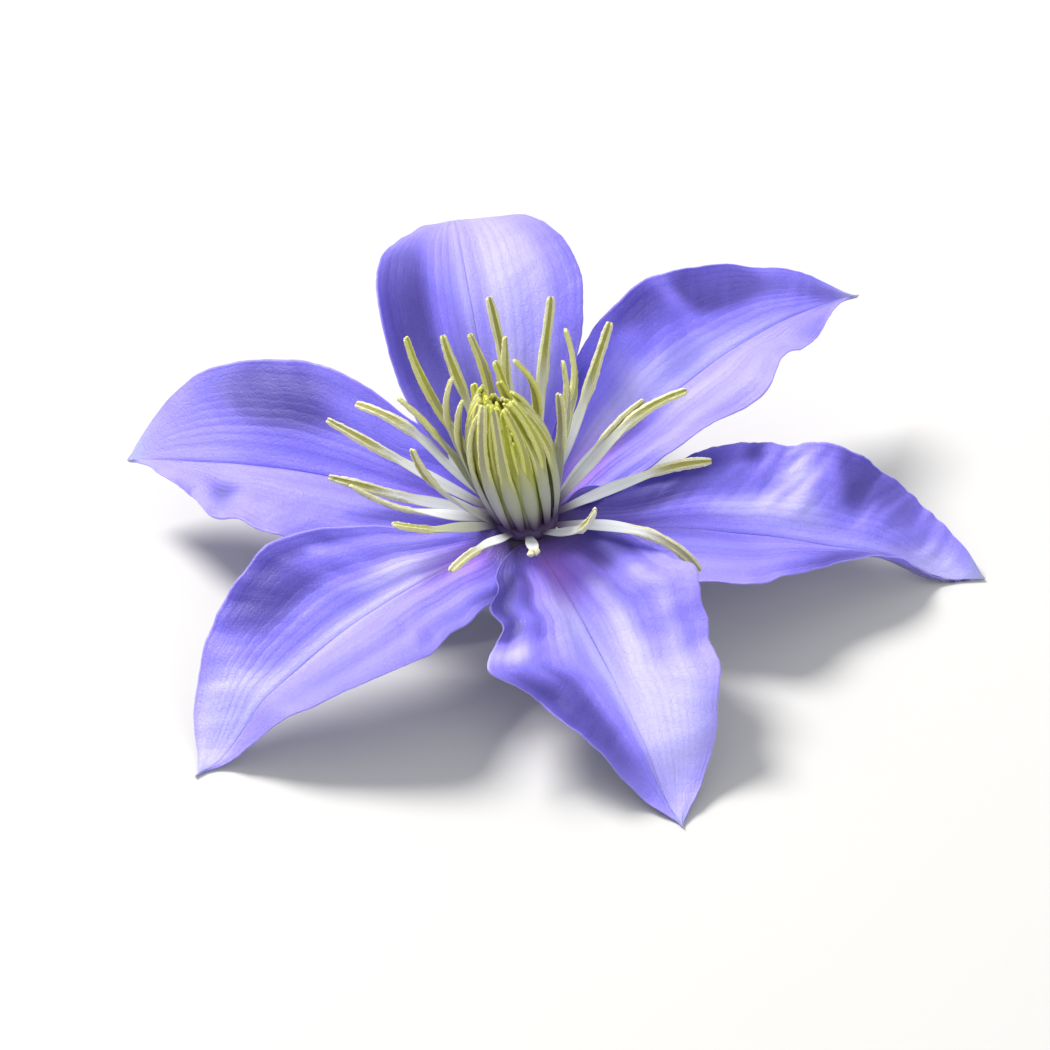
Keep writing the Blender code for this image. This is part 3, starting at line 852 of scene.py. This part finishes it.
def addStamen(bm, layers, form, rng):
    line, face, twist, ripeness, broad, antherWidth = form
    varied = stamen["varied"]
    if twist is None:
        twist = rng.uniform(-varied["twist"], varied["twist"])
    tint = rng.random()
    ripe = min(1, max(0, ripeness + rng.uniform(-varied["ripe"], varied["ripe"])))
    shift = rng.uniform(*varied["shift"])
    wander = rng.uniform(0, 100)
    start, end = stamen["antherFrom"]
    start += shift
    end += shift
    halfBlade, swelling, widest, spreadOut = stamen["filament"]
    thinEdge, thickMiddle = stamen["filamentDepth"]
    waist, waistCount = stamen["waists"]
    between, sacHeight, sacPlace, sacSpread = stamen["sacs"]
    slitDepth, slitPlace, slitSpread = stamen["slit"]
    (broadLump, broadFineness), (smallLump, smallFineness) = stamen["lumps"]
    wobbleHeight, wobblePace = stamen["wobble"]
    made = bmesh.ops.create_uvsphere(
        bm, u_segments=stamen["sides"], v_segments=stamen["rings"], radius=1)
    for vert in made["verts"]:
        t = (vert.co.z + 1) / 2
        point, side, normal = line[round(t * stamen["rows"])]
        spread = math.hypot(vert.co.x, vert.co.y)
        place = Vector(point)
        across = 0
        anther = smoothStep(t, start, end)
        if spread > 0.001:
            across = vert.co.x / spread
            deep = vert.co.y / spread
            turn = math.radians(face + twist * smoothStep(t, *stamen["twistOver"]))
            sideways = side * math.cos(turn) + normal * math.sin(turn)
            outwards = normal * math.cos(turn) - side * math.sin(turn)
            filament = broad * (halfBlade + swelling * bell(t, widest, spreadOut))
            pod = antherWidth + waist * math.sin(math.tau * (waistCount * t + wander))
            width = filament * (1 - anther) + pod * anther
            thin = thinEdge + thickMiddle * (1 - across * across)
            sacs = between + sacHeight * bell(abs(across), sacPlace, sacSpread)
            sacs -= slitDepth * bell(abs(across), slitPlace, slitSpread) * ripe
            depth = thin * (1 - anther) + sacs * anther
            rounded = spread ** stamen["blunt"]
            cupped = stamen["cup"] * (across * across - 0.5) * (1 - anther) * rounded
            place += sideways * (across * width * rounded)
            place += outwards * (deep * depth * rounded + cupped)
            lumps = broadLump * noise.noise(place * broadFineness + Vector((wander, 0, 0)))
            lumps += smallLump * noise.noise(place * smallFineness + Vector((0, wander, 0)))
            place += outwards * (lumps * anther * deep) + sideways * (lumps * anther * across)
            wobble = wobbleHeight * noise.noise(Vector((t * wobblePace, wander, 0)))
            place += side * (wobble * smoothStep(t, *stamen["wobbleOver"]))
        vert.co = placed(place)
        vert[layers["along"]] = t
        vert[layers["across"]] = across
        vert[layers["anther"]] = smoothStep(t + 0.05 * abs(across), start - 0.04, end + 0.02)
        vert[layers["ripe"]] = ripe
        vert[layers["tint"]] = tint


def stamenLook():
    look, tree, shader = newLook("stamens", {
        "Subsurface Weight": 0.2,
        "Subsurface Radius": (0.8, 0.8, 0.4),
        "Subsurface Scale": 0.6 * mm,
        "Specular IOR Level": 0.4,
    })
    where = objectPlace(tree)
    along = attribute(tree, "along")
    edge = abs(attribute(tree, "across"))
    anther = attribute(tree, "anther")
    ripe = attribute(tree, "ripe")
    tint = attribute(tree, "tint")
    grain = roughNoise(tree, where, 5600, 2, 0.7)
    cloud = roughNoise(tree, where, 500, 2)

    filament = mixed(tree, stepUp(tree, ripe, 0.0, 0.5), "9da23c", "a9ac99")
    filament = mixed(tree, stepUp(tree, ripe, 0.5, 0.9), filament, "e4e6ee")
    filament = mixed(tree, cloud * 0.2, filament, "c2c8b0")
    filament = mixed(tree, stepUp(tree, edge, 0.7, 1.0) * (0.55 - ripe * 0.4), filament, "a5ae52")
    filament = mixed(tree, hump(tree, edge, 0, 0.2) * 0.15, filament, "a2ab84")
    filament = mixed(tree, stepUp(tree, along, 0.34, 0.58) * (0.6 - ripe * 0.5), filament, "b4b53a")
    # Towards the foot a filament turns purple-brown, partly its own purple tint and partly painted
    # shade deep in the barrel. It is darkest at the very bottom, with painted shade where it meets
    # the ring.
    foot = 1 - stepUp(tree, along, 0.02, 0.34)
    filament = mixed(tree, foot * (0.9 - ripe * 0.5), filament, "857a88")
    filament = mixed(tree, (1 - stepUp(tree, along, 0.02, 0.23)) * 0.9, filament, "4b3660")

    # An anther's middle goes on from the filament and narrows between its two sacs.
    sac = mixed(tree, ripe, "dfe056", "e0ddb6")
    sac = mixed(tree, tint * 0.25, sac, "b5b23a")
    sac = mixed(tree, stepUp(tree, grain, 0.46, 0.66) * (0.25 + ripe * 0.5), sac, "efeeda")
    connective = mixed(tree, ripe, "bcc038", "a7a354")
    connective = mixed(tree, stepUp(tree, tint, 0.6, 0.8) * 0.7, connective, "a79f93")
    connective = mixed(tree, stepUp(tree, 1 - tint, 0.7, 0.9) * ripe * 0.5, connective, "83803f")
    connective = mixed(tree, stepUp(tree, along, 0.55, 0.78), filament, connective)
    narrowing = stepUp(tree, along, 0.5, 0.95) * 0.22
    pod = mixed(tree, stepUp(tree, edge + narrowing, 0.50, 0.66), connective, sac)
    # Darker along a ripe sac's slit: painted shade in the groove that the slit makes.
    slit = hump(tree, edge, 0.76, 0.05) * ripe
    pod = mixed(tree, slit * 0.4, pod, "7c7638")
    colour = mixed(tree, anther, filament, pod)
    bump = bumped(tree, grain * (0.1 + anther), 0.9, 0.18)
    feed(tree, shader, colour=colour, roughness=0.42 + grain * 0.25, normal=bump)
    return look


def ringLook():
    look, tree, shader = newLook("stamen ring", {"Subsurface Weight": 0.1, "Subsurface Scale": mm})
    where = objectPlace(tree)
    cloud = roughNoise(tree, where, 1500, 3)
    colour = mixed(tree, cloud, "38254a", "57406a")
    bump = bumped(tree, cloud, 0.5, 0.2)
    feed(tree, shader, colour=colour, roughness=0.55 + cloud * 0.2, normal=bump)
    return look


stamenMaterial = stamenLook()
rng = random.Random(21)
for name, forms in zip(("stamens_spreading", "stamens_standing"), stamenForms()):
    bm = bmesh.new()
    layers = {}
    for layer in ("along", "across", "anther", "ripe", "tint"):
        layers[layer] = bm.verts.layers.float.new(layer)
    for form in forms:
        addStamen(bm, layers, form, rng)
    bmesh.ops.recalc_face_normals(bm, faces=bm.faces)
    newPiece(name, bm, [stamenMaterial], "stamens")

bpy.ops.mesh.primitive_torus_add(
    major_radius=stamen["ringRadius"] * mm, minor_radius=stamen["ringHalfWidth"] * mm,
    major_segments=64, minor_segments=24)
ring = bpy.context.object
ring.name = "stamen_ring"
lumpHeight, lumpFineness = stamen["ringLumps"]
for vert in ring.data.vertices:
    vert.co.z *= stamen["ringHalfHeight"] / stamen["ringHalfWidth"]
    lumps = lumpHeight * noise.noise(vert.co / mm * lumpFineness)
    vert.co = placed(vert.co / mm + Vector((0, 0, stamenLevel + lumps)))
ring.location = (0, 0, 0)
ring.data.shade_smooth()
ring.data.materials.append(ringLook())
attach(ring, "root")
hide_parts("stamens")


print("styles")

# A dome of carpels and the styles on it, each with a knob at its end.
tuft = dict(
    domeRadius=stamen["ringRadius"] - stamen["ringHalfWidth"] - gap,
    domeTop=0.55,              # radius of the dome's top beside that of its foot
    domeHeight=3.0,
    count=40,
    turn=360 * 0.382,          # from one style to the next
    reach=0.95,                # radius of the patch that they grow on
    rootLift=0.6,
    length=(13.6, 15.8),
    halfWidth=0.20,
    knob=0.42,
    knobFrom=(0.88, 0.97),
    rows=60,
    sides=10,
    rings=30,
)


def styleLook():
    look, tree, shader = newLook("styles", {
        "Subsurface Weight": 0.3,
        "Subsurface Radius": (0.8, 1.0, 0.4),
        "Subsurface Scale": mm,
    })
    where = objectPlace(tree)
    along = attribute(tree, "along")
    cloud = roughNoise(tree, where, 1800, 2)
    colour = mixed(tree, stepUp(tree, along, 0.2, 0.9), "a3ae3c", "d2d64c")
    colour = mixed(tree, cloud * 0.4, colour, "d2d388")
    bump = bumped(tree, cloud, 0.4, 0.1)
    feed(tree, shader, colour=colour, roughness=0.4 + cloud * 0.2, normal=bump)
    return look


def makeStyles():
    rng = random.Random(5)
    bm = bmesh.new()
    alongLayer = bm.verts.layers.float.new("along")
    bmesh.ops.create_cone(
        bm, cap_ends=True, segments=32, radius1=tuft["domeRadius"] * mm,
        radius2=tuft["domeTop"] * tuft["domeRadius"] * mm, depth=tuft["domeHeight"] * mm)
    base = receptacle["top"] + gap
    lift = placed(Vector((0, 0, base + tuft["domeHeight"] / 2)))
    bmesh.ops.translate(bm, verts=bm.verts, vec=lift)
    for index in range(tuft["count"]):
        azimuth = tuft["turn"] * index + rng.uniform(-10, 10)
        radius = tuft["reach"] * math.sqrt((index + 0.5) / tuft["count"])
        angle = math.radians(azimuth)
        root = (radius * math.cos(angle), radius * math.sin(angle), base + tuft["rootLift"])
        rise = (90, 89, 84 + rng.uniform(-20, 20))
        length = rng.uniform(*tuft["length"])
        bend = rng.uniform(-60, 60)
        hook = rng.uniform(-50, 30)
        line = growthLine(root, azimuth, length, rise, bend, (0, 0), tuft["rows"], hook)
        line = leaning(line)
        made = bmesh.ops.create_uvsphere(
            bm, u_segments=tuft["sides"], v_segments=tuft["rings"], radius=1)
        for vert in made["verts"]:
            t = (vert.co.z + 1) / 2
            point, side, normal = line[round(t * tuft["rows"])]
            spread = math.hypot(vert.co.x, vert.co.y)
            place = Vector(point)
            if spread > 0.001:
                swollen = (tuft["knob"] - tuft["halfWidth"]) * smoothStep(t, *tuft["knobFrom"])
                rounded = (tuft["halfWidth"] + swollen) * spread ** -0.5
                place += side * (vert.co.x * rounded) + normal * (vert.co.y * rounded)
            vert.co = placed(place)
            vert[alongLayer] = t
    bmesh.ops.recalc_face_normals(bm, faces=bm.faces)
    newPiece("styles_tuft", bm, [styleLook()], "styles")


makeStyles()


print("pedicel")

# The stalk's middle is a Bezier curve from its cut end, which lies on the floor, by two
# handles to the receptacle, which follows by level and radius. Its first two points are
# given from the level at which the stalk lies, and it flares over the last part of its way.
stalk = dict(
    radius=1.3,
    handles=((-4.0, 17.0, -0.1), (-1.2, 5.5, 0.4)),
    neck=(0, 0, -6.5),
    top=(0, 0, -2.6),
    flareFrom=0.6,
    flare=0.9,
    receptacle=((-1.9, 2.8), (-1.3, 3.3), (-0.6, 3.5), (0.5, 3.5), (0.8, 3.1)),
    rows=60,
    sides=40,
    ribs=8,
    ribHeight=0.07,
    ribsEnd=(0.75, 0.9),
    weld=0.002,
)


def pedicelLook():
    look, tree, shader = newLook("pedicel", {
        "Subsurface Weight": 0.15,
        "Subsurface Radius": (0.5, 0.9, 0.3),
        "Subsurface Scale": mm,
    })
    where = objectPlace(tree)
    along = attribute(tree, "along")
    cloud = roughNoise(tree, where, 700, 3)
    streaks = stripes(tree, attribute(tree, "round") * (math.tau * stalk["ribs"]))
    colour = mixed(tree, cloud, "5d6f38", "7d8f4e")
    colour = mixed(tree, streaks * 0.35, colour, "6a4a55")
    colour = mixed(tree, stepUp(tree, along, 0.80, 0.97) * 0.95, colour, "432e52")
    bump = bumped(tree, cloud + streaks * 0.6, 0.5, 0.2)
    feed(tree, shader, colour=colour, roughness=0.5 + cloud * 0.2, normal=bump)
    return look


def makePedicel():
    lie = surfaceLevel + stalk["radius"]
    (endX, endY, endLift), (lowX, lowY, lowLift) = stalk["handles"]
    end = Vector((endX, endY, lie + endLift))
    lower = Vector((lowX, lowY, lie + lowLift))
    neck = Vector(stalk["neck"])
    top = Vector(stalk["top"])
    route = []
    for index in range(stalk["rows"]):
        t = index / (stalk["rows"] - 1)
        place = (end * (1 - t) ** 3 + lower * 3 * t * (1 - t) ** 2
                 + neck * 3 * t * t * (1 - t) + top * t**3)
        widened = max(0, (t - stalk["flareFrom"]) / (1 - stalk["flareFrom"])) ** 2
        route.append((place, stalk["radius"] + stalk["flare"] * widened))
    for level, radius in stalk["receptacle"]:
        route.append((Vector((0, 0, level)), radius))

    bm = bmesh.new()
    alongLayer = bm.verts.layers.float.new("along")
    roundLayer = bm.verts.layers.float.new("round")
    bmesh.ops.create_grid(bm, x_segments=stalk["sides"], y_segments=len(route) - 1, size=1)
    for vert in bm.verts:
        share = (vert.co.x + 1) / 2
        row = round((vert.co.y + 1) / 2 * (len(route) - 1))
        point, radius = route[row]
        ahead = route[min(row + 1, len(route) - 1)][0] - route[max(row - 1, 0)][0]
        forward = ahead.normalized()
        level = Vector((1, 0, 0))
        side = (level - forward * level.dot(forward)).normalized()
        normal = forward.cross(side)
        angle = math.tau * share
        plain = smoothStep(row / len(route), *stalk["ribsEnd"])
        bulge = 1 + stalk["ribHeight"] * math.cos(stalk["ribs"] * angle) * (1 - plain) / radius
        place = point + (side * math.cos(angle) + normal * math.sin(angle)) * radius * bulge
        place.z = max(place.z, surfaceLevel)
        vert.co = placed(place)
        vert[alongLayer] = row / (len(route) - 1)
        vert[roundLayer] = share
    bmesh.ops.remove_doubles(bm, verts=bm.verts, dist=stalk["weld"] * mm)
    rims = [edge for edge in bm.edges if edge.is_boundary]
    bmesh.ops.holes_fill(bm, edges=rims, sides=0)
    bmesh.ops.recalc_face_normals(bm, faces=bm.faces)
    newPiece("pedicel_stalk", bm, [pedicelLook()], "pedicel")


makePedicel()
